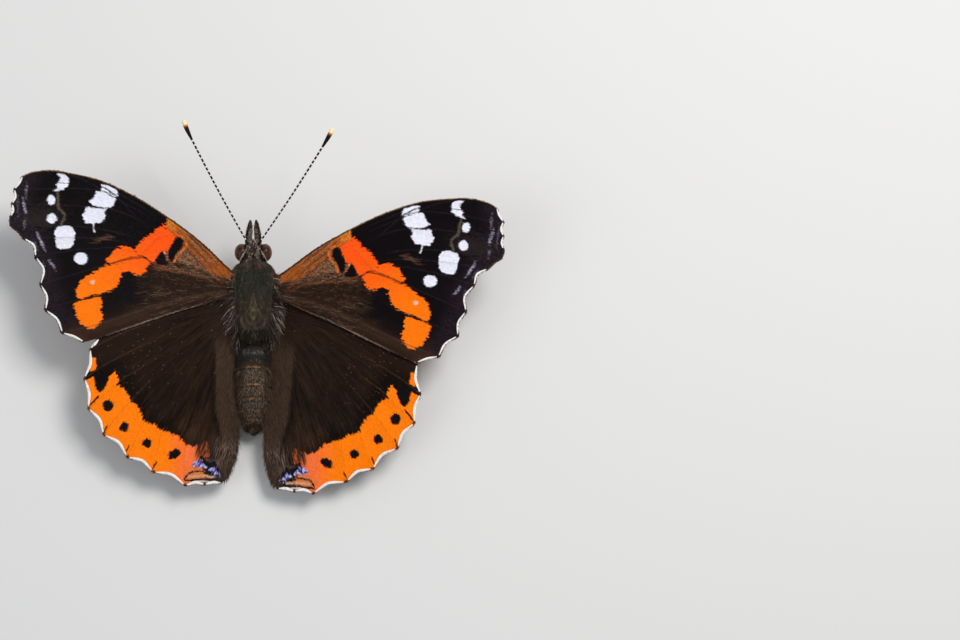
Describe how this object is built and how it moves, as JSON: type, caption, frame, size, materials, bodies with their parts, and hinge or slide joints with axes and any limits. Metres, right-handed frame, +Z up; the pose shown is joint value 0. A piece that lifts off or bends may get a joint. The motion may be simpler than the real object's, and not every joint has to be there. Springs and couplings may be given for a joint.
{
  "type": "red admiral butterfly",
  "caption": "Life-size red admiral butterfly basking with its wings spread flat, black-brown with orange bands, white spots and long feelers, standing on its walking legs.",
  "frame": {"origin": "middle of the base of the whole butterfly, on the ground that its feet stand on", "axes": "+Y towards the head, +Z up, +X towards the butterfly's own right wings"},
  "size_m": [0.0656, 0.0488, 0.0142],
  "materials": {
    "wing": "matt scales with orange, white and blue markings",
    "coat": "short dull hair",
    "eye": "smooth, faintly shining",
    "feeler": "satin with pale rings",
    "leg": "satin with fine bristles"
  },
  "bodies": {
    "root": {"head": "coat", "thorax": "coat", "abdomen": "coat", "proboscis": "feeler", "eye_left": "eye", "palp_left": "coat", "antenna_left": "feeler", "forewing_left": "wing", "hindwing_left": "wing", "foreleg_left": "coat", "midleg_left": "leg", "hindleg_left": "leg", "eye_right": "eye", "palp_right": "coat", "antenna_right": "feeler", "forewing_right": "wing", "hindwing_right": "wing", "foreleg_right": "coat", "midleg_right": "leg", "hindleg_right": "leg"}
  },
  "joints": []
}
